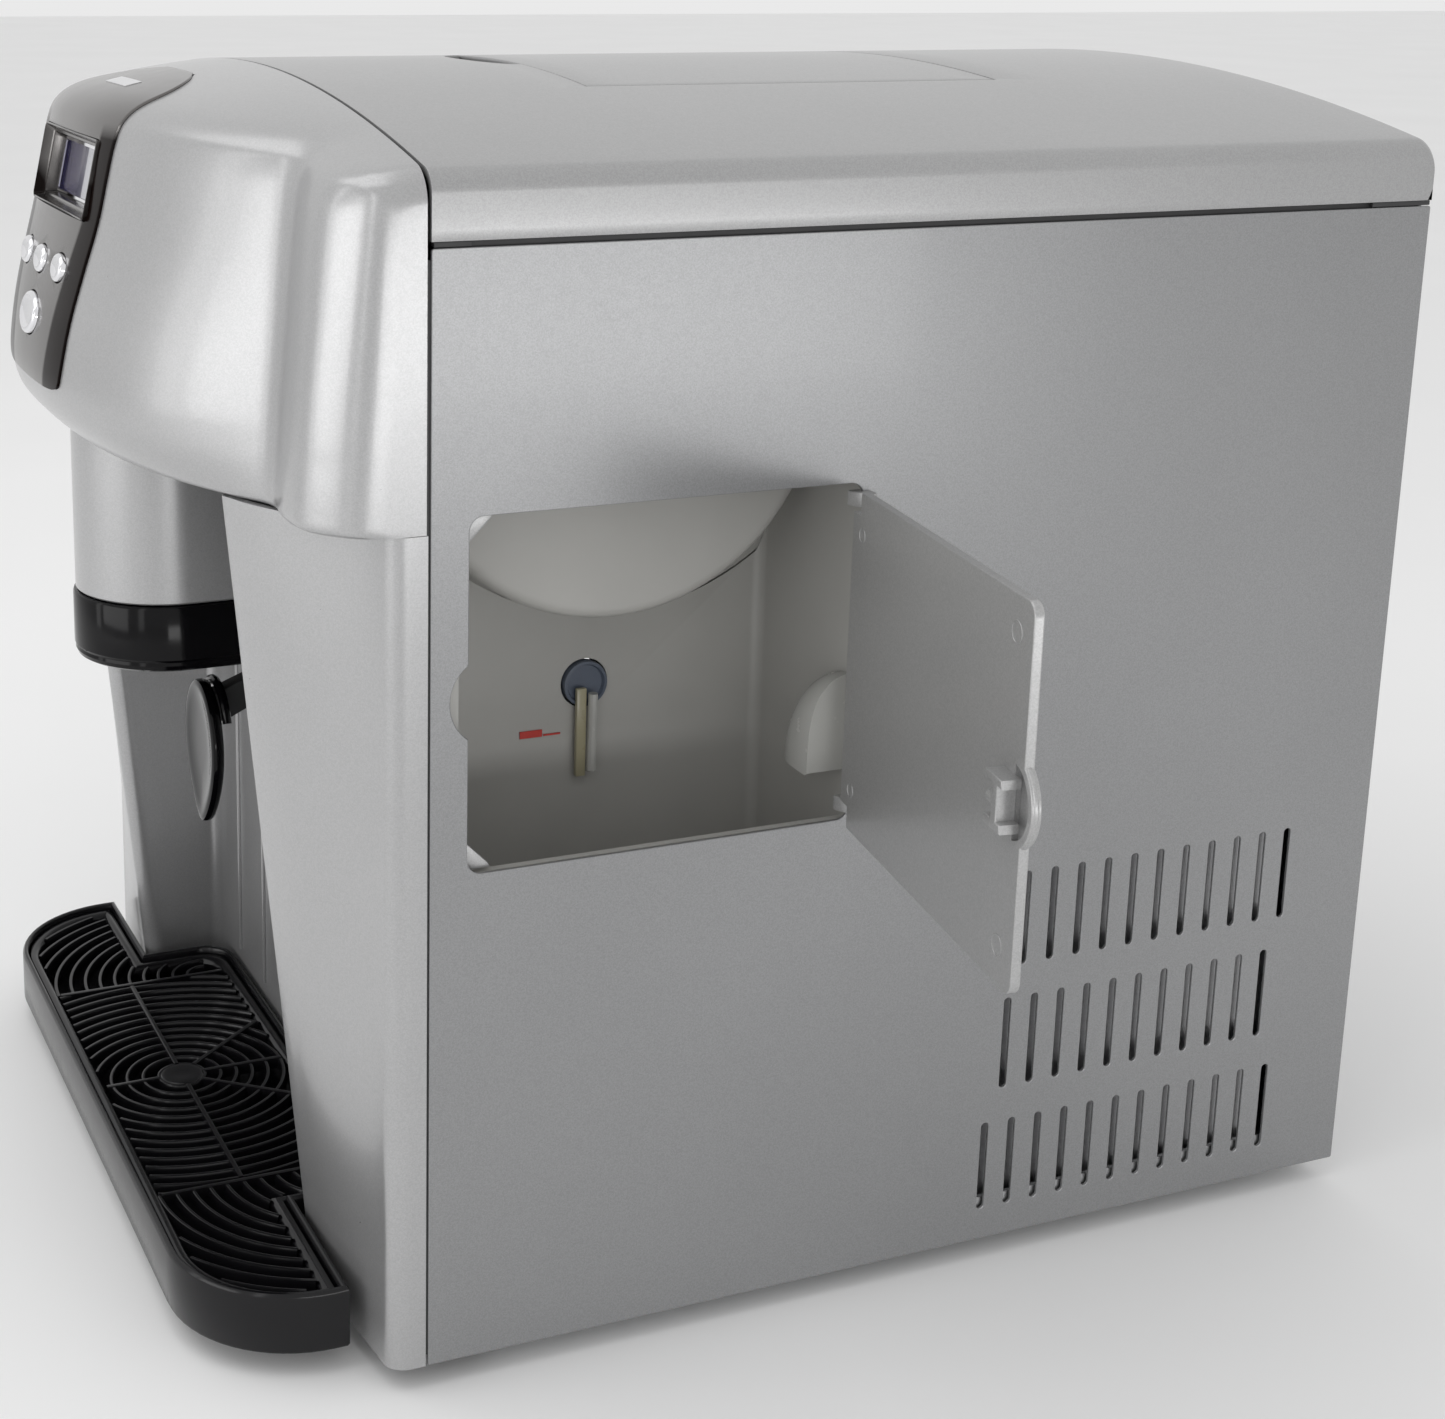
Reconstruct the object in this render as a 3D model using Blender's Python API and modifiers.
"""Countertop ice maker and dispenser, modelled as an assembly of separate parts.

Metres, +Z up.  The shape is drawn in millimetres in the machine's own frame:
X = 0 is the machine's centre plane (+X is the side with the water door),
Y = 0 is the seam between the front mouldings and the steel cabinet (-Y is the
front), Z = 0 is the surface that it stands on.  One empty shifts everything so
that the finished assembly stands on the middle of its own bounding box.
"""
import bpy
import bmesh
import math
from mathutils import Matrix, Vector

# ---------------------------------------------------------------- dimensions
MM = 0.001
HALF_W = 188.0          # half the cabinet width
DEPTH = 375.0           # cabinet depth behind the seam
Z_FLOOR = 8.3           # underside of the cabinet, above the feet
Z_PANEL = 377.4         # top edge of the side panels
Z_LID = 379.4           # lower edge of the lid's skirt
Z_CREST = 421.6         # top of the crowned lid on the centre plane
CROWN = 0.000627        # crown drop per mm of X squared
SEAM = 0.4              # half of the seam gap
SHEET = 1.2             # painted steel sheet
WALL = 2.5              # moulded wall
FOOT_R = 12.0
HOOD_Z0 = 291.0         # lower edge of the hood
VALLEY_X = 139.0        # where the hood's nose meets its cheeks
CORNER_R = 16.0         # plan corner of the hood's cheeks
NICHE_X = 112.0         # half width of the dispensing niche at the front
NICHE_XB = 124.0        # and at its back wall
NICHE_Y = 17.0          # face of the niche's back wall
WIN_Y0, WIN_Y1 = 13.0, 150.5     # side door opening
WIN_Z0, WIN_Z1 = 179.5, 295.5
DOOR_T = 3.0
DOOR_AXIS = (190.6, 150.9)       # hinge pin of the side door, X and Y
DOOR_OPEN = 80.0                 # degrees open in the rest pose
FLAP_X = 88.0
FLAP_Y0, FLAP_Y1 = 94.5, 258.0
FLAP_AXIS = (257.6, 421.0)       # hinge line of the top flap, Y and Z
BIN_Y, BIN_Z, BIN_R = 100.0, 330.0, 95.0
BIN_X0, BIN_XM, BIN_X1 = -120.0, 111.0, 152.0
END_Y, END_Z, END_R = 80.3, 322.0, 76.0     # the bin's narrower end over the tank
TRAY_X = 169.5
TRAY_Y0 = -71.0
TRAY_Z1 = 31.2
TRAY_R = 46.0
CHUTE_X, CHUTE_Y0 = 33.0, -68.0
LEVER_AXIS = (6.0, 190.0)        # pivot of the dispensing lever, Y and Z
FAN_AXIS = (275.0, 88.0)         # Y and Z
PANEL_N = Vector((0.0, -0.977, 0.215)).normalized()   # the key panel's outward normal
PANEL_V = Vector((0.0, 0.215, 0.977)).normalized()
OFFSET = (-71.54, -145.2)        # shift of the whole assembly, X and Y

SILVER = ((0.60, 0.61, 0.62), 0.32, 0.55)
SHEETC = ((0.50, 0.51, 0.52), 0.42, 0.45)
BLACK = ((0.012, 0.012, 0.014), 0.16, 0.0)
MATTE = ((0.03, 0.03, 0.03), 0.6, 0.0)
WHITE = ((0.78, 0.78, 0.76), 0.42, 0.0)
SMOKE = ((0.12, 0.12, 0.125), 0.10, 0.85)
CHROME = ((0.8, 0.8, 0.82), 0.06, 1.0)
STEEL = ((0.55, 0.55, 0.56), 0.35, 1.0)
COPPER = ((0.72, 0.36, 0.20), 0.30, 1.0)
GLASSY = ((0.20, 0.22, 0.30), 0.05, 0.0)
GREEN = ((0.04, 0.20, 0.09), 0.5, 0.0)
RUBBER = ((0.02, 0.02, 0.02), 0.8, 0.0)

# ------------------------------------------------------------------- scene
for ob in list(bpy.data.objects):
    bpy.data.objects.remove(ob, do_unlink=True)
PARTS = bpy.data.collections.new("ice_maker")
CUTS = bpy.data.collections.new("cutters")
bpy.context.scene.collection.children.link(PARTS)
bpy.context.scene.collection.children.link(CUTS)
ROOT = bpy.data.objects.new("assembly", None)
PARTS.objects.link(ROOT)
ROOT.location = (OFFSET[0] * MM, OFFSET[1] * MM, 0.0)


def material(name, spec):
    mat = bpy.data.materials.new(name)
    mat.use_nodes = True
    bsdf = mat.node_tree.nodes["Principled BSDF"]
    bsdf.inputs["Base Color"].default_value = (*spec[0], 1.0)
    bsdf.inputs["Roughness"].default_value = spec[1]
    bsdf.inputs["Metallic"].default_value = spec[2]
    return mat


def link(name, mesh, spec, origin=None, smooth=35.0):
    """Add a mesh drawn in machine millimetres as one named part."""
    mesh.transform(Matrix.Scale(MM, 4))
    o = Vector(origin) * MM if origin else Vector((0, 0, 0))
    mesh.transform(Matrix.Translation(-o))
    ob = bpy.data.objects.new(name, mesh)
    PARTS.objects.link(ob)
    ob.parent = ROOT
    ob.location = o
    mesh.materials.clear()
    mesh.materials.append(material(name, spec))
    mesh.shade_smooth()
    mesh.set_sharp_from_angle(angle=math.radians(smooth))
    return ob


def cutter(mesh, origin=None):
    mesh.transform(Matrix.Scale(MM, 4))
    ob = bpy.data.objects.new("cut", mesh)
    CUTS.objects.link(ob)
    ob.parent = ROOT
    ob.hide_render = True
    ob.display_type = 'WIRE'
    return ob


def done(bm, name="m"):
    bmesh.ops.recalc_face_normals(bm, faces=bm.faces)
    me = bpy.data.meshes.new(name)
    bm.to_mesh(me)
    bm.free()
    return me


def m_box(x0, x1, y0, y1, z0, z1):
    bm = bmesh.new()
    bmesh.ops.create_cube(bm, size=1.0)
    bmesh.ops.scale(bm, vec=(x1 - x0, y1 - y0, z1 - z0), verts=bm.verts)
    bmesh.ops.translate(bm, vec=((x0 + x1) / 2, (y0 + y1) / 2, (z0 + z1) / 2), verts=bm.verts)
    return done(bm)


AXM = {'Z': Matrix.Identity(4),
       'X': Matrix.Rotation(math.pi / 2, 4, 'Y'),
       'Y': Matrix.Rotation(-math.pi / 2, 4, 'X')}


def m_cyl(c, r, length, axis='Z', seg=20, r2=None):
    """A cylinder or cone centred on c, length along the axis."""
    bm = bmesh.new()
    bmesh.ops.create_cone(bm, cap_ends=True, segments=seg, radius1=r, radius2=r if r2 is None else r2,
                          depth=length)
    bmesh.ops.transform(bm, matrix=Matrix.Translation(c) @ AXM[axis], verts=bm.verts)
    return done(bm)


def m_prism(pts, lo, hi, plane='XY'):
    """A flat outline drawn as a filled 2D curve and extruded from lo to hi.

    plane XY extrudes along Z, YZ along X and XZ along Y."""
    cu = bpy.data.curves.new("outline", 'CURVE')
    cu.dimensions = '2D'
    cu.fill_mode = 'BOTH'
    cu.extrude = (hi - lo) / 2
    cu.resolution_u = 1
    cu.render_resolution_u = 0
    sp = cu.splines.new('POLY')
    sp.points.add(len(pts) - 1)
    for p, (a, b) in zip(sp.points, pts):
        p.co = (a, b, 0.0, 1.0)
    sp.use_cyclic_u = True
    ob = bpy.data.objects.new("outline", cu)
    CUTS.objects.link(ob)
    bpy.context.view_layer.update()
    dep = bpy.context.evaluated_depsgraph_get()
    me = bpy.data.meshes.new_from_object(ob.evaluated_get(dep))
    bpy.data.objects.remove(ob, do_unlink=True)
    bpy.data.curves.remove(cu)
    bm = bmesh.new()
    bm.from_mesh(me)
    bmesh.ops.remove_doubles(bm, verts=bm.verts, dist=1e-4)
    mid = (lo + hi) / 2
    if plane == 'XY':
        mat = Matrix.Translation((0, 0, mid))
    elif plane == 'YZ':      # (a, b) -> (Y, Z), extruded along X
        mat = Matrix(((0, 0, 1, mid), (1, 0, 0, 0), (0, 1, 0, 0), (0, 0, 0, 1)))
    else:                    # (a, b) -> (X, Z), extruded along Y
        mat = Matrix(((1, 0, 0, 0), (0, 0, -1, mid), (0, 1, 0, 0), (0, 0, 0, 1)))
    bmesh.ops.transform(bm, matrix=mat, verts=bm.verts)
    return done(bm)


def m_place(me, at, u, v, n):
    """Map a mesh drawn around its own origin to the frame u, v, n at a point."""
    me.transform(Matrix(((u[0], v[0], n[0], at[0]), (u[1], v[1], n[1], at[1]),
                         (u[2], v[2], n[2], at[2]), (0, 0, 0, 1))))
    return me


def boolean(ob, tool, op='DIFFERENCE', solver='EXACT'):
    m = ob.modifiers.new("b", 'BOOLEAN')
    m.operation = op
    m.solver = solver
    m.object = tool
    tool.hide_render = True
    return ob


def cut(ob, *meshes):
    for me in meshes:
        boolean(ob, cutter(me))
    return ob


def join(ob, *meshes):
    for me in meshes:
        boolean(ob, cutter(me), 'UNION')
    return ob


def bevel(ob, width, seg=2, angle=40.0):
    m = ob.modifiers.new("bevel", 'BEVEL')
    m.width = width * MM
    m.segments = seg
    m.limit_method = 'ANGLE'
    m.angle_limit = math.radians(angle)
    m.use_clamp_overlap = True
    return ob


def weld(ob):
    """Merge the coincident points that a cut leaves along a shared line."""
    m = ob.modifiers.new("weld", 'WELD')
    m.merge_threshold = 0.000008
    return ob


def solidify(ob, t, even=True):
    m = ob.modifiers.new("shell", 'SOLIDIFY')
    m.thickness = t * MM
    m.offset = -1.0
    m.use_even_offset = even
    m.use_quality_normals = False
    return ob


def grid_mesh(rows, merge=1e-4, flip=False):
    """An open surface through rows of points; coincident points are merged."""
    bm = bmesh.new()
    vs = [[bm.verts.new(p) for p in r] for r in rows]
    for i in range(len(vs) - 1):
        for j in range(len(vs[0]) - 1):
            q = [vs[i][j], vs[i][j + 1], vs[i + 1][j + 1], vs[i + 1][j]]
            bm.faces.new(q[::-1] if flip else q)
    bmesh.ops.remove_doubles(bm, verts=bm.verts, dist=merge)
    bmesh.ops.dissolve_degenerate(bm, dist=merge, edges=bm.edges)
    me = bpy.data.meshes.new("grid")
    bm.to_mesh(me)
    bm.free()
    return me


def closed_patch(outer, inner):
    """A closed body between two matching grids of points."""
    bm = bmesh.new()
    n, k = len(outer), len(outer[0])
    a = [[bm.verts.new(p) for p in r] for r in outer]
    b = [[bm.verts.new(p) for p in r] for r in inner]
    for i in range(n - 1):
        for j in range(k - 1):
            bm.faces.new((a[i][j], a[i][j + 1], a[i + 1][j + 1], a[i + 1][j]))
            bm.faces.new((b[i][j], b[i + 1][j], b[i + 1][j + 1], b[i][j + 1]))
    for i in range(n - 1):
        bm.faces.new((a[i][0], a[i + 1][0], b[i + 1][0], b[i][0]))
        bm.faces.new((a[i][k - 1], b[i][k - 1], b[i + 1][k - 1], a[i + 1][k - 1]))
    for j in range(k - 1):
        bm.faces.new((a[0][j], b[0][j], b[0][j + 1], a[0][j + 1]))
        bm.faces.new((a[n - 1][j], a[n - 1][j + 1], b[n - 1][j + 1], b[n - 1][j]))
    return done(bm)


def rrect(x0, x1, y0, y1, r, seg=3):
    """A rectangle with rounded corners, counter-clockwise."""
    pts = []
    for cx, cy, a0 in ((x1 - r, y0 + r, -90), (x1 - r, y1 - r, 0), (x0 + r, y1 - r, 90), (x0 + r, y0 + r, 180)):
        for i in range(seg + 1):
            a = math.radians(a0 + 90.0 * i / seg)
            pts.append((cx + r * math.cos(a), cy + r * math.sin(a)))
    return pts


def oval(rx, ry, n=16, p=2.0):
    pts = []
    for i in range(n):
        a = 2 * math.pi * i / n
        c, s = math.cos(a), math.sin(a)
        pts.append((rx * math.copysign(abs(c) ** (2 / p), c), ry * math.copysign(abs(s) ** (2 / p), s)))
    return pts


def m_tube(points, r, res=2):
    """A round tube through points, with filled ends."""
    cu = bpy.data.curves.new("tube", 'CURVE')
    cu.dimensions = '3D'
    cu.bevel_depth = r
    cu.bevel_resolution = res
    cu.use_fill_caps = True
    cu.resolution_u = 1
    cu.render_resolution_u = 0
    sp = cu.splines.new('POLY')
    sp.points.add(len(points) - 1)
    for p, c in zip(sp.points, points):
        p.co = (*c, 1.0)
    ob = bpy.data.objects.new("tube", cu)
    CUTS.objects.link(ob)
    bpy.context.view_layer.update()
    dep = bpy.context.evaluated_depsgraph_get()
    me = bpy.data.meshes.new_from_object(ob.evaluated_get(dep))
    bpy.data.objects.remove(ob, do_unlink=True)
    bpy.data.curves.remove(cu)
    bm = bmesh.new()
    bm.from_mesh(me)
    bmesh.ops.remove_doubles(bm, verts=bm.verts, dist=1e-4)
    return done(bm)


def smooth_route(ctrl, n):
    """Catmull-Rom points through the control points."""
    c = [Vector(p) for p in ctrl]
    c = [c[0] * 2 - c[1]] + c + [c[-1] * 2 - c[-2]]
    out = []
    segs = len(c) - 3
    for k in range(n + 1):
        t = segs * k / n
        i = min(int(t), segs - 1)
        u = t - i
        p0, p1, p2, p3 = c[i:i + 4]
        out.append(tuple(0.5 * ((2 * p1) + (p2 - p0) * u + (2 * p0 - 5 * p1 + 4 * p2 - p3) * u * u
                                + (3 * p1 - p0 - 3 * p2 + p3) * u ** 3)))
    return out


# --------------------------------------------------------- cabinet and feet
def crest(x):
    return Z_CREST - CROWN * x * x


def build_feet():
    prof = [(0.0, 8.0), (9.0, 8.0), (FOOT_R, 6.2), (FOOT_R, 1.6), (10.6, 0.0), (0.0, 0.0)]
    for name, x, y in (("foot_front_right", 128, 40), ("foot_front_left", -128, 40),
                       ("foot_rear_right", 128, 330), ("foot_rear_left", -128, 330)):
        bm = bmesh.new()
        vs = [bm.verts.new((px, 0.0, pz)) for px, pz in prof]
        for a, b in zip(vs, vs[1:]):
            bm.edges.new((a, b))
        me = bpy.data.meshes.new(name)
        bm.to_mesh(me)
        bm.free()
        ob = link(name, me, RUBBER)
        ob.location = (x * MM, y * MM, 0.0)
        m = ob.modifiers.new("turn", 'SCREW')
        m.axis = 'Z'
        m.steps = m.render_steps = 20
        m.use_merge_vertices = True
        m.merge_threshold = 0.00001


def build_base():
    ob = link("base_pan", m_box(-186.2, 186.2, 22.5, 371.2, Z_FLOOR, 24.0), STEEL)
    cut(ob, m_box(-184.6, 184.6, 24.1, 369.6, 10.3, 40.0))
    ob2 = ob
    return ob2


def slot(y, z0, z1, w=3.0):
    """The outline of one upright louvre slot with rounded ends, in YZ."""
    r = w / 2
    pts = []
    for cz, a0 in ((z0 + r, 180), (z1 - r, 0)):
        for i in range(4):
            a = math.radians(a0 + 60.0 * i)
            pts.append((y + r * math.cos(a), cz + r * math.sin(a)))
    return pts


def vent_rows():
    out = []
    for z0, z1, y0, y1, n in ((114.4, 149.6, 213.4, 338.0, 12), (67.3, 102.1, 219.7, 332.2, 11),
                              (20.4, 54.5, 213.4, 338.0, 12)):
        for i in range(n):
            out.append((y0 + (y1 - y0) * i / (n - 1), z0, z1))
    return out


def build_side(name, sx, window):
    x0, x1 = (HALF_W - SHEET, HALF_W) if sx > 0 else (-HALF_W, -HALF_W + SHEET)
    ob = link(name, m_box(x0, x1, SEAM, DEPTH, Z_FLOOR, Z_PANEL), SHEETC)
    bm = bmesh.new()
    for y, z0, z1 in vent_rows():
        me = m_prism(slot(y, z0, z1), x0 - 3, x1 + 3, 'YZ')
        bm.from_mesh(me)
        bpy.data.meshes.remove(me)
    cut(ob, done(bm))
    if window:
        cut(ob, m_prism(rrect(WIN_Y0, WIN_Y1, WIN_Z0, WIN_Z1, 5.0, 3), x0 - 3, x1 + 3, 'YZ'))
        arc = [(22.0 + 15.0 * math.cos(a), 236.5 + 15.0 * math.sin(a))
               for a in [math.radians(110 + 140 * i / 8) for i in range(9)]]
        cut(ob, m_prism(arc, x0 - 3, x1 + 3, 'YZ'))
    return ob


def build_rear():
    y0, y1 = 371.6, 373.2
    ob = link("rear_panel", m_box(-186.2, 186.2, y0, y1, Z_FLOOR, Z_PANEL), SHEETC)
    bm = bmesh.new()
    for i in range(14):
        x = -30.0 + 12.0 * i
        for z0, z1 in ((60.0, 105.0), (115.0, 160.0)):
            pts = [(a - 0.0, b) for a, b in slot(x, z0, z1, 4.0)]
            me = m_prism(pts, y0 - 3, y1 + 3, 'XZ')
            bm.from_mesh(me)
            bpy.data.meshes.remove(me)
    cut(ob, done(bm))
    cut(ob, m_box(-157.0, -129.0, y0 - 3, y1 + 3, 52.0, 72.0))
    cut(ob, m_cyl((60.0, y0, 36.0), 9.0, 20.0, 'Y', 16))
    for k, (x, z) in enumerate(((-176, 366), (176, 366), (-176, 30), (176, 30))):
        link("screw_%d" % (k + 1), m_cyl((x, 374.1, z), 3.6, 1.4, 'Y', 10), STEEL)
    return ob


def build_power_inlet():
    ob = link("power_inlet", m_box(-156.6, -129.4, 352.0, 373.6, 52.4, 71.6), MATTE)
    cut(ob, m_box(-153.5, -132.5, 356.0, 380.0, 55.5, 68.5))
    for x in (-150, -143, -136):
        join(ob, m_box(x - 1.0, x + 1.0, 355.0, 368.0, 60.0, 64.0))
    return ob


# --------------------------------------------------------------- lid and flap
def lid_outline(inset, z_low, n_top=16):
    """The crowned lid's section across the machine, in XZ."""
    half, r = HALF_W - inset, 9.0 - inset
    pts = [(half, z_low)]
    for a in (90.0, 67.5, 45.0, 22.5, 0.0):
        t = math.radians(a)
        x = half - r + r * math.sin(t)
        pts.append((x, crest(x) - inset - r * (1.0 - math.cos(t))))
    for i in range(1, n_top):
        x = (half - r) * (1.0 - 2.0 * i / n_top)
        pts.append((x, crest(x) - inset))
    return pts + [(-x, z) for x, z in pts[:6]][::-1]


def build_lid():
    ob = link("top_lid", m_prism(lid_outline(0.0, Z_LID), SEAM, DEPTH, 'XZ'), SHEETC)
    cut(ob, m_prism(lid_outline(WALL, Z_LID - 5.0), -5.0, DEPTH - WALL, 'XZ'))
    cut(ob, m_box(-FLAP_X - 0.5, FLAP_X + 0.5, FLAP_Y0 - 0.5, FLAP_Y1 + 0.5, 395.0, 430.0))
    cut(ob, m_prism([(30.0 * math.cos(a), 94.0 + 12.5 * math.sin(a)) for a in
                     [math.radians(22.5 * i + 11.25) for i in range(16)]], 395.0, 430.0, 'XY'))
    weld(ob)
    return ob


def build_flap():
    xs = [FLAP_X * (1 - 2.0 * i / 12) for i in range(13)]
    ys = [FLAP_Y0, 150.0, 205.0, FLAP_Y1]
    outer = [[(x, y, crest(x)) for x in xs] for y in ys]
    inner = [[(x, y, crest(x) - 2.6) for x in xs] for y in ys]
    me = closed_patch(outer, inner)
    ob = link("top_flap", me, SHEETC, (0.0, FLAP_AXIS[0], FLAP_AXIS[1]))
    return ob


def build_scoop():
    """The dish under the finger notch in front of the flap."""
    ob = link("finger_cup", m_prism([(33.0 * math.cos(a), 91.0 + 16.0 * math.sin(a)) for a in
                                     [math.radians(22.5 * i) for i in range(16)]], 404.0, 416.6, 'XY'), SHEETC)
    bm = bmesh.new()
    bmesh.ops.create_uvsphere(bm, u_segments=20, v_segments=10, radius=1.0)
    bmesh.ops.scale(bm, vec=(30.5, 13.5, 11.0), verts=bm.verts)
    bmesh.ops.translate(bm, vec=(0, 91.0, 417.0), verts=bm.verts)
    cut(ob, done(bm))
    cut(ob, m_box(-60, 60, FLAP_Y0 - 4.0, 120, 400.0, 430))
    return ob


# -------------------------------------------------------------------- hood
NOSE = [(-64.0, 291.0), (-69.0, 292.6), (-75.5, 297.5), (-80.8, 304.0), (-83.0, 312.0), (-83.0, 321.0),
        (-80.0, 337.0), (-75.8, 353.7), (-70.9, 371.4), (-68.0, 386.0), (-65.4, 398.0), (-62.0, 406.0),
        (-54.0, 411.6), (-40.0, 415.4), (-20.0, 419.0), (-0.9, 421.6)]
CHEEK = [-31.0, -33.4, -33.4, -33.0, -32.4, -31.8, -30.4, -28.8, -27.2, -25.8, -24.6, -22.6, -18.0, -12.0, -6.0, -0.9]


SIDE_Z = [291.0, 292.6, 297.5, 304.0, 312.0, 321.0, 337.0, 353.7, 371.4, 384.0, 391.0, 395.5, 397.6, 398.6, 399.1, 399.4]


def hood_point(x, t, off=0.0):
    """A point on the hood's outer face: x across, t along the profile rows."""
    def raw(x, t):
        ax = min(abs(x), HALF_W)
        i = min(int(t), len(NOSE) - 2)
        u = t - i
        ny = NOSE[i][0] * (1 - u) + NOSE[i + 1][0] * u
        zc = NOSE[i][1] * (1 - u) + NOSE[i + 1][1] * u
        zs = SIDE_Z[i] * (1 - u) + SIDE_Z[i + 1] * u
        cy = CHEEK[i] * (1 - u) + CHEEK[i + 1] * u
        g = 1.0 - (min(ax, VALLEY_X) / VALLEY_X) ** 2.5
        y = cy + (ny - cy) * g
        q = (ax / HALF_W) ** 2
        z = zc * (1 - q) + zs * q
        fade = min(1.0, max(0.0, (12.0 - t) / 3.0))
        if ax > VALLEY_X:                       # shallow bulge of the cheek
            y -= 2.6 * fade * math.sin(math.pi * min(1.0, (ax - VALLEY_X) / 40.0))
        if ax > HALF_W - CORNER_R:              # vertical corner
            d = ax - (HALF_W - CORNER_R)
            k = CORNER_R - math.sqrt(max(0.0, CORNER_R ** 2 - d * d))
            y += k * min(1.0, (-0.9 - y) / 30.0)
        if ax > HALF_W - 9.0:                   # edge between top and side
            d = ax - (HALF_W - 9.0)
            z -= (9.0 - math.sqrt(max(0.0, 81.0 - d * d))) * min(1.0, max(0.0, (zs - 371.4) / 28.0))
        return Vector((x, y, z))
    p = raw(x, t)
    if off:
        e = 0.4
        dx = raw(x + e, t) - raw(x - e, t)
        t0, t1 = max(0.0, t - 0.15), min(len(NOSE) - 1.0, t + 0.15)
        dt = raw(x, t1) - raw(x, t0)
        p = p + dx.cross(dt).normalized() * off
    return p


HOOD_X = [0.0, 30.0, 58.0, 82.0, 103.0, 120.0, 132.0, 139.0, 147.0, 159.0, 172.0, 178.1, 183.3, 186.8, 188.0]


def build_hood():
    xs = [-x for x in HOOD_X[::-1]] + HOOD_X[1:]
    rows = []
    for t in range(len(NOSE)):
        row = [tuple(hood_point(x, float(t))) for x in xs]
        z0, z1 = row[0][2], row[-1][2]
        row = [(-HALF_W, -0.9, z0)] + row + [(HALF_W, -0.9, z1)]
        rows.append(row)
    ob = link("hood_cover", grid_mesh(rows, 1e-2), SILVER)
    solidify(ob, WALL, False)
    # opening for the key panel, from the same surface as the panel itself
    boolean(ob, cutter(panel_patch(0.45, 5.0, -5.0)))
    return ob


PANEL_ROWS = [(4.05, 27.0), (4.12, 36.0), (4.35, 41.0), (5.0, 43.5), (6.0, 46.0), (7.0, 48.5), (8.0, 51.0), (9.0, 52.5),
              (10.0, 53.5), (11.0, 54.0), (12.0, 52.5), (12.6, 49.0), (13.1, 42.0), (13.5, 31.0), (13.75, 18.0)]


def panel_patch(grow, hi, lo):
    """The key panel's outline on the hood's face, thickened from lo to hi."""
    rows = [list(r) for r in PANEL_ROWS]
    rows[0][0] -= grow * 0.10
    rows[-1][0] += grow * 0.05
    us = [-1.0, -0.6, -0.2, 0.2, 0.6, 1.0]
    o = [[tuple(hood_point(u * (w + grow), t, hi)) for u in us] for t, w in rows]
    i = [[tuple(hood_point(u * (w + grow), t, lo)) for u in us] for t, w in rows]
    return closed_patch(o, i)


def panel_at(x, z):
    """The point of the key panel's plane at a height."""
    lo, hi = 4.0, 11.0
    for _ in range(40):
        m = (lo + hi) / 2
        if hood_point(x, m, 0.8).z < z:
            lo = m
        else:
            hi = m
    return hood_point(x, lo, 0.8)


UX = Vector((1.0, 0.0, 0.0))
KEYS = [("key_left", -26.0, 353.5, 7.0, 5.0), ("key_middle", 0.0, 353.5, 7.0, 5.0),
        ("key_right", 26.0, 353.5, 7.0, 5.0), ("key_select", 0.0, 334.5, 11.5, 7.6)]


def build_panel():
    ob = link("control_bezel", panel_patch(0.0, 0.8, -2.4), SMOKE)
    p = panel_at(0.0, 385.0)
    cut(ob, m_place(m_prism(rrect(-42.5, 42.5, -14.2, 14.2, 2.0, 2), -20, 20), p, UX, PANEL_V, PANEL_N))
    for name, x, z, rx, ry in KEYS:
        c = panel_at(x, z)
        cut(ob, m_place(m_prism(oval(rx + 0.5, ry + 0.5), -20, 20), c, UX, PANEL_V, PANEL_N))
    # LCD module sunk behind its window
    lcd = link("lcd_module", m_place(m_prism(rrect(-42.0, 42.0, -13.7, 13.7, 1.6, 2), -15.5, -9.0), p, UX, PANEL_V,
                                     PANEL_N), GLASSY)
    frame = link("lcd_surround", m_place(m_prism(rrect(-45.0, 45.0, -17.0, 17.0, 2.0, 2), -15.0, -7.4), p, UX, PANEL_V,
                                         PANEL_N), SMOKE)
    cut(frame, m_place(m_prism(rrect(-42.4, 42.4, -14.1, 14.1, 1.8, 2), -20, 20), p, UX, PANEL_V, PANEL_N))
    q = panel_at(0.0, 360.0)
    link("control_board", m_place(m_prism(rrect(-48.0, 48.0, -36.0, 36.0, 2.0, 1), -22.0, -20.4), q, UX, PANEL_V,
                                  PANEL_N), GREEN)
    for name, x, z, rx, ry in KEYS:
        c = panel_at(x, z)
        k = link(name, m_place(m_prism(oval(rx, ry), -6.5, 1.8), c, UX, PANEL_V, PANEL_N), CHROME, tuple(c))
        bevel(k, 0.8, 2)


def offset_outline(pts, d):
    """Inset (d > 0) of a closed counter-clockwise outline, vertex by vertex."""
    out = []
    n = len(pts)
    for i in range(n):
        a, b, c = Vector(pts[i - 1]), Vector(pts[i]), Vector(pts[(i + 1) % n])
        n1 = Vector((-(b - a).y, (b - a).x)).normalized()
        n2 = Vector((-(c - b).y, (c - b).x)).normalized()
        m = (n1 + n2)
        m = m / max(0.3, m.dot(n1)) if m.length > 1e-6 else n1
        out.append((b.x + m.x * d, b.y + m.y * d))
    return out


def chute_outline(r, front, back, n=9):
    """A D in plan: round nose at the front, straight cheeks to the back."""
    ry = 34.0 - (33.0 - r)
    cy = front + ry
    pts = [(-r, back), (-r, cy)]
    for i in range(1, n):
        a = math.pi * i / n
        pts.append((-r * math.cos(a), cy - ry * math.sin(a)))
    pts += [(r, cy), (r, back)]
    return pts


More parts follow.
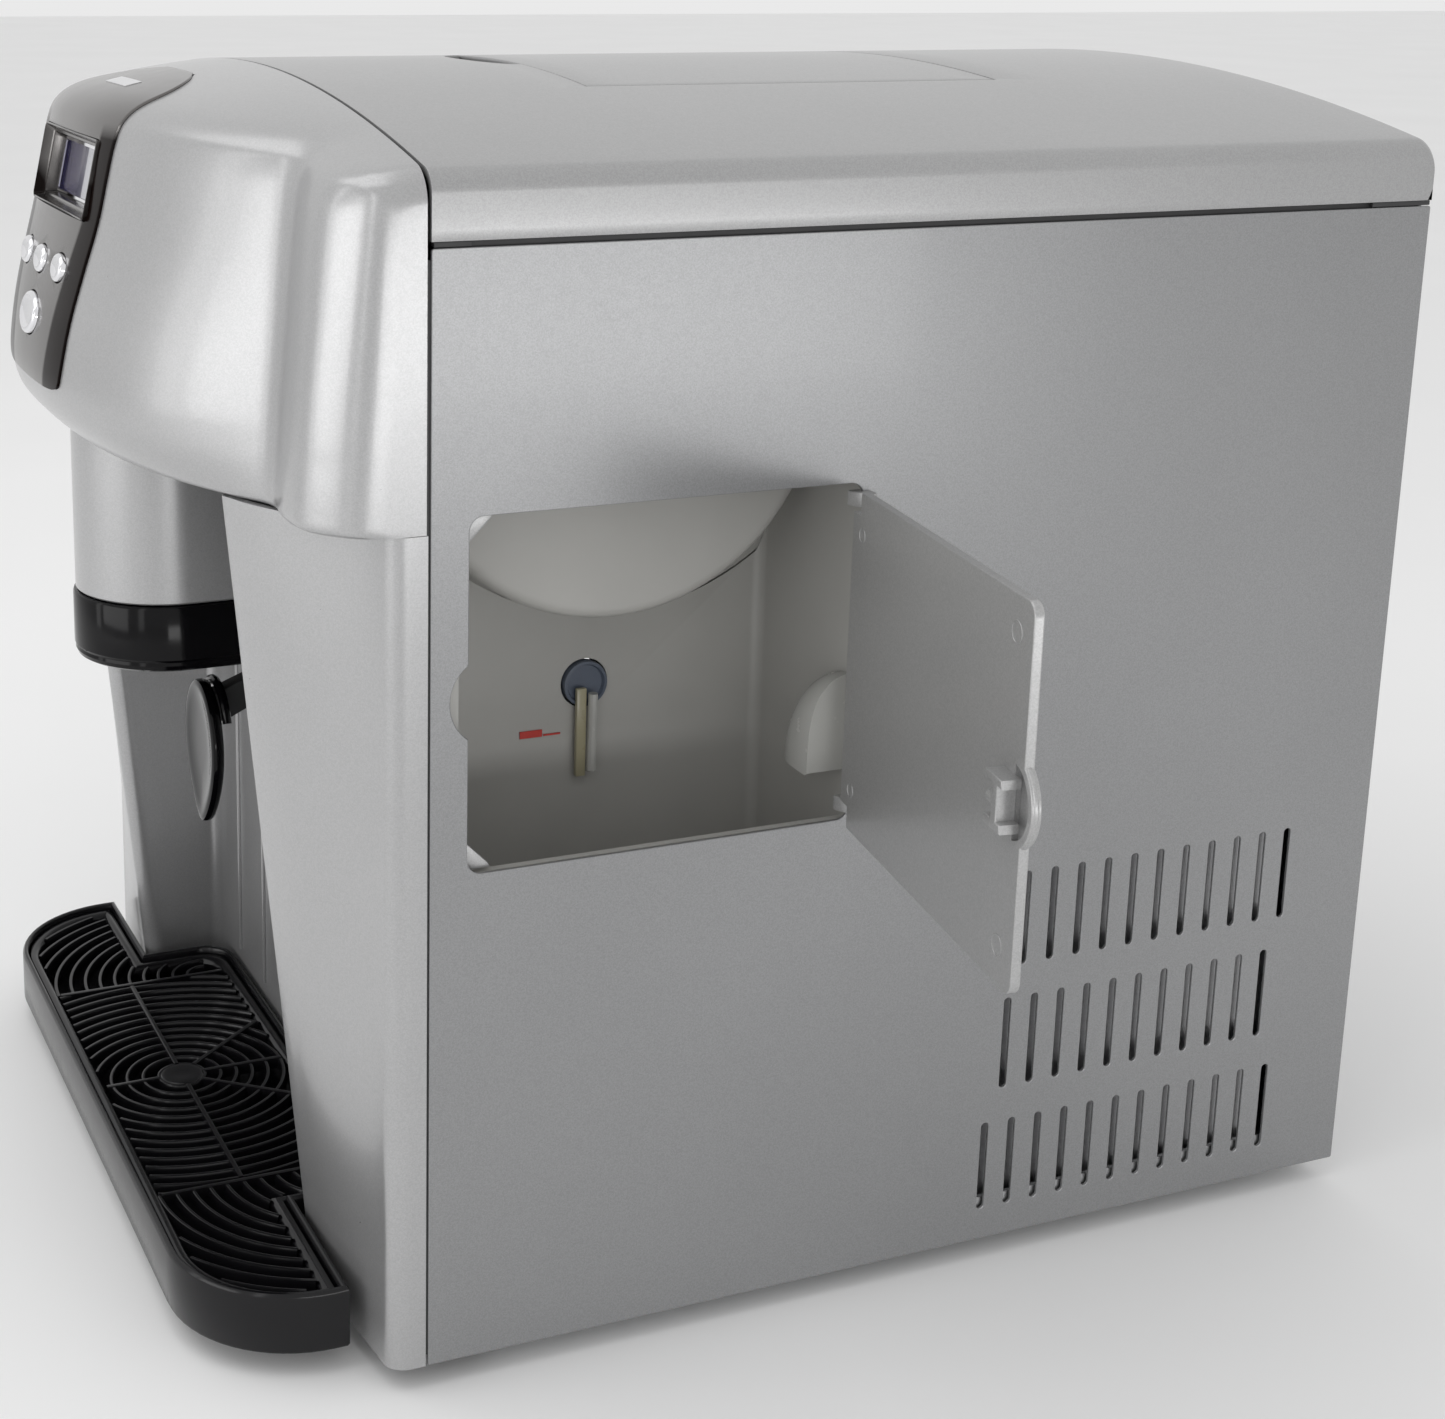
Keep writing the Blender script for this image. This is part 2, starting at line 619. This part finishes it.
def build_chute():
    ob = link("chute_cover", m_prism(chute_outline(CHUTE_X, CHUTE_Y0, NICHE_Y - 0.5), 230.4, 290.8), SILVER)
    cut(ob, m_prism(chute_outline(CHUTE_X - 2.2, CHUTE_Y0 + 2.2, NICHE_Y + 5.0), 225.0, 288.8))
    ring = link("chute_ring", m_prism(chute_outline(CHUTE_X + 1.0, CHUTE_Y0 - 1.0, NICHE_Y - 0.5), 205.0, 230.0), BLACK)
    cut(ring, m_prism(chute_outline(CHUTE_X - 3.2, CHUTE_Y0 + 3.2, NICHE_Y + 5.0), 200.0, 235.0))
    # floor of the hood around the drum
    xs = [0.0, 40.0, 70.0, 95.0, 115.0, 130.0, 145.0, 160.0, 172.0, 179.0, 183.0]
    line = [(-x, hood_point(x, 0.0).y + 4.8) for x in xs[::-1]] + [(x, hood_point(x, 0.0).y + 4.8) for x in xs[1:]]
    line = [(-183.0, -2.0)] + line + [(183.0, -2.0)]
    link("hood_floor", m_prism(line, 292.4, 294.4), MATTE)


# ----------------------------------------------------------- front fascia
def fascia_ring(z):
    """The fascia's plan at a height, from the right seam to the left one."""
    k = min(1.0, max(0.0, (z - 8.0) / 283.0))
    ye = -17.0 - 27.5 * k               # front face beside the niche
    yc = -12.5                          # outer corner
    r = 7.0
    half = [(HALF_W, -SEAM), (HALF_W, yc + r)]
    dirx, diry = (NICHE_X + 5.0) - (HALF_W - r), (ye + 0.5) - (yc - 0.6)
    for a in (30, 60, 90):
        t = math.radians(a)
        half.append((HALF_W - r + r * math.cos(t), yc + r - (r + 0.4) * math.sin(t)))
    for f in (0.35, 0.7):
        half.append((HALF_W - r + dirx * f, yc - 0.4 + diry * f - 1.2 * math.sin(math.pi * f)))
    # rounded inner edge of the column
    for a in (15, 50, 90, 130):
        t = math.radians(a)
        half.append((NICHE_X + 5.0 - 5.0 * math.sin(t) + 0.0, ye + 5.0 - 5.0 * math.cos(t)))
    half.append((NICHE_XB - 1.0, NICHE_Y - 5.0))
    half.append((NICHE_XB - 3.0, NICHE_Y - 1.2))
    half.append((NICHE_XB - 8.0, NICHE_Y))
    half.append((60.0, NICHE_Y))
    return half + [(-x, y) for x, y in half[::-1]]


def build_fascia():
    zs = [Z_FLOOR, 60.0, 120.0, 180.0, 240.0, 291.0 - 0.2]
    rows = [[(x, y, z) for x, y in fascia_ring(z)] for z in zs]
    ob = link("front_fascia", grid_mesh(rows, 1e-3, True), SILVER)
    solidify(ob, WALL)
    # outlet from the ice bin into the drum
    cut(ob, m_box(-25.0, 25.0, 5.0, 30.0, 236.0, 284.0))
    # entry for the lever's link
    cut(ob, m_box(-6.0, 6.0, 5.0, 30.0, 180.0, 194.0))
    return ob


def build_lever():
    y0, z0 = LEVER_AXIS
    # teardrop paddle drawn in XZ, pivot hub above and behind it
    pts = []
    for i in range(20):
        a = 2 * math.pi * i / 20
        s = math.sin(a)
        w = 21.0 * (1.0 if s > 0 else 1.0 - 0.42 * s * s)
        pts.append((w * math.cos(a), 166.0 + (24.0 if s > 0 else 32.5) * s))
    me = m_prism(pts, -23.6, -18.6, 'XZ')
    sh = Matrix.Shear('XY', 4, (0.0, 0.0))
    ob = link("dispense_lever", me, BLACK, (0.0, y0, z0))
    bevel(ob, 1.0, 2)
    # arm to the hub, and the hub itself
    arm = [(-19.0, 185.0), (-19.0, 174.0), (-14.0, 174.0), (8.5, 186.0), (8.5, 193.0), (3.0, 193.0)]
    join(ob, m_prism(arm, -4.0, 4.0, 'YZ'))
    join(ob, m_cyl((0.0, y0, z0), 4.2, 22.0, 'X', 16))
    # bracket on the niche wall that carries the pin
    br = link("lever_bracket", m_box(-19.0, 19.0, 1.0, 16.6, 182.0, 196.6), MATTE)
    cut(br, m_box(-11.6, 11.6, -5.0, 12.6, 170.0, 204.0))
    bevel(br, 0.8, 1)
    # microswitch behind the wall, pressed through the slot
    link("microswitch", m_box(-10.0, 10.0, 20.2, 30.0, 196.4, 206.4), MATTE)


# --------------------------------------------------------------- drip tray
def tray_outline(inset=0.0):
    xo, y0, r = TRAY_X - inset, TRAY_Y0 + inset, TRAY_R - inset
    pts = []
    n = 9
    for i in range(n + 1):
        a = math.radians(-90.0 * i / n)
        pts.append((-xo + r - r * math.cos(a) if False else -(xo - r) + r * math.sin(a) if False else 0, 0))
    pts = []
    # left corner, clockwise start at the left rear, running counter-clockwise
    back = -20.4 - inset
    pts.append((-xo, back))
    for i in range(n + 1):
        a = math.radians(180.0 + 90.0 * i / n)
        pts.append((-(xo - r) + r * math.cos(a), y0 + r + r * math.sin(a)))
    for i in range(n + 1):
        a = math.radians(270.0 + 90.0 * i / n)
        pts.append(((xo - r) + r * math.cos(a), y0 + r + r * math.sin(a)))
    pts.append((xo, back))
    nx, nb = 108.5 - inset, 15.4 - inset
    pts.append((nx, back))
    for a in (0, 30, 60, 90):
        t = math.radians(a)
        pts.append((nx - 12.0 + 12.0 * math.cos(t), nb - 12.0 + 12.0 * math.sin(t)))
    for a in (90, 120, 150, 180):
        t = math.radians(a)
        pts.append((-nx + 12.0 + 12.0 * math.cos(t), nb - 12.0 + 12.0 * math.sin(t)))
    pts.append((-nx, back))
    return pts


HUB_Y = -33.0


def build_tray():
    # keep the front slightly bowed: the outline is straight between corners
    ob = link("drip_tray", m_prism(tray_outline(), 8.6, TRAY_Z1), BLACK, (0.0, 0.0, 8.6))
    cut(ob, m_prism(tray_outline(2.6), 11.0, 60.0))
    g = link("drip_grille", m_prism(tray_outline(3.1), 26.4, 28.8), BLACK, (0.0, 0.0, 27.0))
    bm = bmesh.new()
    for r0, r1, spans in ((14.0, 20.0, 4), (27.0, 33.0, 4), (40.0, 46.0, 0)):
        for k in range(spans):
            a0, a1 = 90.0 * k + 8.0 + (6 if r0 < 20 else 0), 90.0 * (k + 1) - 8.0 - (6 if r0 < 20 else 0)
            n = 5
            out = [(r1 * math.cos(math.radians(a0 + (a1 - a0) * i / n)),
                    HUB_Y + r1 * math.sin(math.radians(a0 + (a1 - a0) * i / n))) for i in range(n + 1)]
            inn = [(r0 * math.cos(math.radians(a0 + (a1 - a0) * i / n)),
                    HUB_Y + r0 * math.sin(math.radians(a0 + (a1 - a0) * i / n))) for i in range(n + 1)]
            me = m_prism(out + inn[::-1], 20.0, 40.0)
            bm.from_mesh(me)
            bpy.data.meshes.remove(me)
    for sx in (-1, 1):
        for x in (52.0, 64.0, 76.0, 96.0, 108.0, 120.0, 132.0):
            y0 = -62.0 if x < 115 else (-52.0 if x < 125 else -44.0)
            y1 = 4.0 if x < 90 else -27.0
            me = m_box(min(sx * x, sx * (x + 6.0)), max(sx * x, sx * (x + 6.0)), y0, y1, 20.0, 40.0)
            bm.from_mesh(me)
            bpy.data.meshes.remove(me)
    cut(g, done(bm))


# --------------------------------------------------------------- side door
def build_door():
    ax, ay = DOOR_AXIS
    gap = 0.8
    pts = rrect(WIN_Y0 + gap, WIN_Y1 - gap, WIN_Z0 + gap, WIN_Z1 - gap, 4.5, 3)
    x0, x1 = HALF_W - DOOR_T, HALF_W
    me = m_prism(pts, x0, x1, 'YZ')
    ob = link("side_door", me, SHEETC, (ax, ay, 0.0))
    loc = (-ax, -ay, 0.0)

    def local(m):
        m.transform(Matrix.Translation(loc))
        return m

    def door_cut(m):
        m = local(m)
        m.transform(Matrix.Scale(MM, 4))
        t = bpy.data.objects.new("cut", m)
        CUTS.objects.link(t)
        t.parent = ob
        t.hide_render = True
        t.display_type = 'WIRE'
        return t

    # finger pull: a round lip that sits in the panel's thumb notch
    arc = [(22.0 + 14.2 * math.cos(a), 236.5 + 14.2 * math.sin(a))
           for a in [math.radians(112 + 136 * i / 8) for i in range(9)]]
    boolean(ob, door_cut(m_prism(arc, x0, x1, 'YZ')), 'UNION')
    # latch block on the inner face
    boolean(ob, door_cut(m_box(x0 - 6.0, x0 + 1.0, 15.0, 27.0, 228.0, 245.0)), 'UNION')
    boolean(ob, door_cut(m_box(x0 - 4.5, x0 - 1.8, 10.0, 22.0, 231.0, 242.0)))
    # corners cleared for the frame's hinge lugs
    for z0, z1 in ((287.0, 300.0), (170.0, 188.0)):
        boolean(ob, door_cut(m_box(x0 - 8, x1 + 8, 143.2, 160.0, z0, z1)))
    # hinge knuckles
    for z0, z1 in ((279.4, 287.0), (188.0, 195.6)):
        boolean(ob, door_cut(m_box(x1 - 1.5, ax, 145.0, 149.6, z0, z1)), 'UNION')
        boolean(ob, door_cut(m_cyl((ax, ay, (z0 + z1) / 2), 2.4, z1 - z0, 'Z', 12)), 'UNION')
        boolean(ob, door_cut(m_cyl((ax, ay, (z0 + z1) / 2), 1.15, 20.0, 'Z', 10)))
    weld(ob)
    ob.rotation_euler = (0.0, 0.0, math.radians(DOOR_OPEN))

    # frame behind the opening, with the two hinge lugs and their pins
    fr = link("door_frame", m_prism(rrect(4.0, 160.0, 171.0, 304.0, 6.0, 2), 184.6, 186.4, 'YZ'), WHITE)
    cut(fr, m_prism(rrect(9.0, 151.5, 178.5, 296.5, 5.0, 2), 180.0, 190.0, 'YZ'),
        m_box(180.0, 190.0, 6.0, 12.0, 221.0, 252.0))
    for s, z0, z1 in ((1, 287.6, 292.6), (-1, 182.4, 187.4)):
        join(fr, m_box(185.0, ax, 146.0, 149.9, z0, z1), m_box(184.6, 186.4, 146.0, 153.0, z0, z1),
             m_cyl((ax, ay - 0.0, (z0 + z1) / 2), 2.3, z1 - z0, 'Z', 12))
        zp = (z0 - 5.0, z0 + 0.6) if s > 0 else (z1 - 0.6, z1 + 5.0)
        join(fr, m_cyl((ax, ay, (zp[0] + zp[1]) / 2), 0.85, zp[1] - zp[0], 'Z', 10))
    return ob


# ------------------------------------------------------- water tank and bin
def build_tank():
    ob = link("water_tank", m_box(105.0, 184.2, 22.6, 161.0, 130.0, 326.0), WHITE)
    join(ob, m_box(129.0, 184.2, 10.8, 40.0, 130.0, 326.0))
    cut(ob, m_box(108.0, 181.4, 25.4, 158.2, 133.0, 340.0))
    cut(ob, m_box(132.0, 181.4, 13.6, 40.0, 133.0, 340.0))
    cut(ob, m_box(178.0, 190.0, 5.0, 158.2, 178.4, 340.0))
    cut(ob, m_cyl((77.0, BIN_Y, BIN_Z), BIN_R + 0.9, 70.0, 'X', 48))
    cut(ob, m_cyl((130.0, END_Y, END_Z), END_R + 0.9, 46.4, 'X', 40))
    cut(ob, m_cyl((106.0, 88.6, 209.8), 9.0, 20.0, 'X', 16))
    weld(ob)
    # the bin is narrower where it reaches over the tank
    bn = link("ice_bin", m_cyl(((BIN_X0 + BIN_XM) / 2, BIN_Y, BIN_Z), BIN_R, BIN_XM - BIN_X0, 'X', 48), WHITE)
    join(bn, m_box(BIN_X0, BIN_XM, BIN_Y - 60.0, BIN_Y + BIN_R - 0.4, BIN_Z, 372.0))
    join(bn, m_cyl(((BIN_XM - 4.0 + BIN_X1) / 2, END_Y, END_Z), END_R, BIN_X1 - BIN_XM + 4.0, 'X', 40))
    join(bn, m_box(BIN_XM - 4.0, BIN_X1, END_Y - 40.0, END_Y + END_R - 0.4, END_Z, 371.0))
    cut(bn, m_box(BIN_X0 - 5, BIN_X1 + 5, 0.0, 22.3, 200.0, 420.0))
    cut(bn, m_box(BIN_X0 - 5, BIN_X1 + 5, 0.0, 260.0, 370.0, 450.0))
    cut(bn, m_cyl(((BIN_X0 + BIN_XM) / 2, BIN_Y, BIN_Z), BIN_R - 3.0, BIN_XM - BIN_X0 - 6.0, 'X', 48))
    cut(bn, m_box(BIN_X0 + 3, BIN_XM - 3, 25.3, BIN_Y + BIN_R - 3.4, BIN_Z, 400.0))
    cut(bn, m_cyl(((BIN_XM - 6.0 + BIN_X1 - 3.0) / 2, END_Y, END_Z), END_R - 3.0, BIN_X1 - BIN_XM + 3.0, 'X', 40))
    cut(bn, m_box(BIN_XM - 6.0, BIN_X1 - 3.0, 25.3, END_Y + END_R - 3.4, END_Z, 401.0))
    cut(bn, m_box(-25.0, 25.0, 10.0, 45.0, 252.0, 284.0))
    cut(bn, m_cyl((BIN_X0, BIN_Y, 305.0), 6.6, 20.0, 'X', 16))
    weld(bn)
    # the well between the curved front and the flat front wall is filled
    # level tube hanging in the tank, on the port in its far wall
    lt = link("level_tube", m_cyl((112.0, 88.6, 209.8), 8.4, 12.0, 'X', 16), WHITE)
    join(lt, m_box(111.4, 117.0, 80.0, 91.0, 176.0, 210.0))
    sp = link("fill_spout", m_cyl((174.0, 150.0, 207.0), 17.0, 15.4, 'Y', 20), WHITE)
    cut(sp, m_box(150.0, 200.0, 130.0, 170.0, 207.5, 240.0), m_box(181.0, 200.0, 130.0, 170.0, 150.0, 240.0))
    cut(sp, m_cyl((174.0, 144.0, 203.0), 12.0, 10.0, 'Y', 20))


def build_agitator():
    y0, z0 = BIN_Y, 305.0
    ob = link("ice_agitator", m_cyl((10.0, y0, z0), 5.0, 274.0 - 6.0, 'X', 12), STEEL, (0.0, y0, z0))
    for k in range(5):
        x = -90.0 + 48.0 * k
        a = math.radians(72.0 * k)
        m = m_box(x - 3.0, x + 3.0, -2.0, 2.0, 0.0, 52.0)
        m.transform(Matrix.Translation((0, y0, z0)) @ Matrix.Rotation(a, 4, 'X'))
        join(ob, m)
    link("agitator_motor", m_cyl((-143.0, y0, z0), 24.0, 34.0, 'X', 20), STEEL)
    link("bin_gate", m_box(-28.0, 28.0, 20.0, 21.6, 233.0, 287.0), MATTE, (0.0, 20.8, 233.0))


# --------------------------------------------------- refrigeration and water
def build_machinery():
    # evaporator block with its cold fingers above the tilting trough
    ev = link("evaporator", m_box(-62.0, 62.0, 214.0, 246.0, 372.0, 384.0), STEEL)
    for i in range(5):
        for y in (222.0, 238.0):
            join(ev, m_cyl((-48.0 + 24.0 * i, y, 358.0), 4.5, 32.0, 'Z', 10))
    tr = link("water_trough", m_box(-70.0, 70.0, 208.0, 252.0, 330.0, 349.0), MATTE, (0.0, 230.0, 348.0))
    cut(tr, m_box(-67.5, 67.5, 210.5, 249.5, 333.0, 380.0))
    for sx in (-1, 1):
        join(tr, m_box(min(sx * 67.8, sx * 69.8), max(sx * 67.8, sx * 69.8), 222.0, 238.0, 340.0, 353.0))
        join(tr, m_cyl((sx * 73.0, 230.0, 347.5), 4.0, 8.0, 'X', 12))
    link("trough_motor", m_box(-112.0, -78.5, 212.0, 248.0, 330.0, 366.0), MATTE)
    br = link("trough_bracket", m_box(78.0, 84.0, 204.0, 256.0, 300.0, 376.0), MATTE)
    # compressor: turned body on a foot plate
    prof = [(0.0, 146.0), (24.0, 144.0), (44.0, 134.0), (54.0, 116.0), (56.0, 84.0), (56.0, 60.0), (53.0, 34.0),
            (40.0, 22.0), (0.0, 18.0)]
    bm = bmesh.new()
    vs = [bm.verts.new((px, 0.0, pz)) for px, pz in prof]
    for a, b in zip(vs, vs[1:]):
        bm.edges.new((a, b))
    me = bpy.data.meshes.new("compressor")
    bm.to_mesh(me)
    bm.free()
    co = link("compressor", me, MATTE)
    co.location = (-70.0 * MM, 285.0 * MM, 0.0)
    m = co.modifiers.new("turn", 'SCREW')
    m.axis = 'Z'
    m.steps = m.render_steps = 20
    m.use_merge_vertices = True
    m.merge_threshold = 0.00001
    link("compressor_plate", m_box(-140.0, 0.0, 225.0, 345.0, 10.7, 17.6), STEEL)
    # condenser coil block behind the side louvres
    cd = link("condenser", m_box(160.0, 182.0, 212.0, 340.0, 20.0, 150.0), STEEL)
    bm = bmesh.new()
    for i in range(9):
        y = 220.0 + 13.0 * i
        m2 = m_box(150.0, 178.0, y, y + 8.0, 26.0, 144.0)
        bm.from_mesh(m2)
        bpy.data.meshes.remove(m2)
    cut(cd, done(bm))
    sh = link("fan_shroud", m_box(132.0, 158.0, 214.0, 338.0, 22.0, 148.0), MATTE)
    cut(sh, m_cyl((145.0, FAN_AXIS[0], FAN_AXIS[1]), 56.0, 60.0, 'X', 28))
    fy, fz = FAN_AXIS
    fb = link("fan_blade", m_cyl((145.0, fy, fz), 13.0, 16.0, 'X', 16), MATTE, (145.0, fy, fz))
    for k in range(5):
        b = m_box(-1.2, 1.2, -11.0, 11.0, 8.0, 52.0)
        b.transform(Matrix.Translation((145.0, fy, fz)) @ Matrix.Rotation(math.radians(72.0 * k), 4, 'X')
                    @ Matrix.Rotation(math.radians(28.0), 4, 'Z'))
        join(fb, b)
    link("fan_motor", m_cyl((118.0, fy, fz), 20.0, 36.0, 'X', 18), STEEL)
    fs = link("fan_strut", m_box(126.6, 131.6, fy - 58.0, fy + 58.0, fz - 24.0, fz + 24.0), STEEL)
    cut(fs, m_cyl((129.0, fy, fz), 20.4, 20.0, 'X', 24))
    # water pump under the tank and its hose to the trough
    pm = link("water_pump", m_cyl((146.0, 84.0, 52.0), 20.0, 54.0, 'Z', 18), WHITE)
    link("drain_cap", m_cyl((60.0, 368.5, 36.0), 8.4, 12.4, 'Y', 16), MATTE, (60.0, 368.5, 36.0))
    hose = smooth_route([(120.0, 84.0, 60.0), (98.0, 100.0, 70.0), (92.0, 150.0, 120.0), (94.0, 196.0, 220.0),
                         (94.0, 230.0, 300.0), (94.0, 238.0, 372.0), (94.0, 226.0, 388.0), (70.0, 222.0, 392.0)], 26)
    link("water_hose", m_tube(hose, 4.0, 2), WHITE)
    ref = smooth_route([(-70.0, 310.0, 150.0), (-70.0, 318.0, 200.0), (-50.0, 312.0, 290.0), (-20.0, 296.0, 360.0),
                        (-10.0, 262.0, 381.0), (-10.0, 247.0, 380.0)], 22)
    link("refrigerant_line", m_tube(ref, 3.2, 2), COPPER)


build_feet()
build_base()
build_side("side_panel_right", 1, True)
build_side("side_panel_left", -1, False)
build_rear()
build_power_inlet()
build_lid()
build_flap()
build_scoop()
build_hood()
build_panel()
build_chute()
build_fascia()
build_lever()
build_tray()
build_door()
build_tank()
build_agitator()
build_machinery()
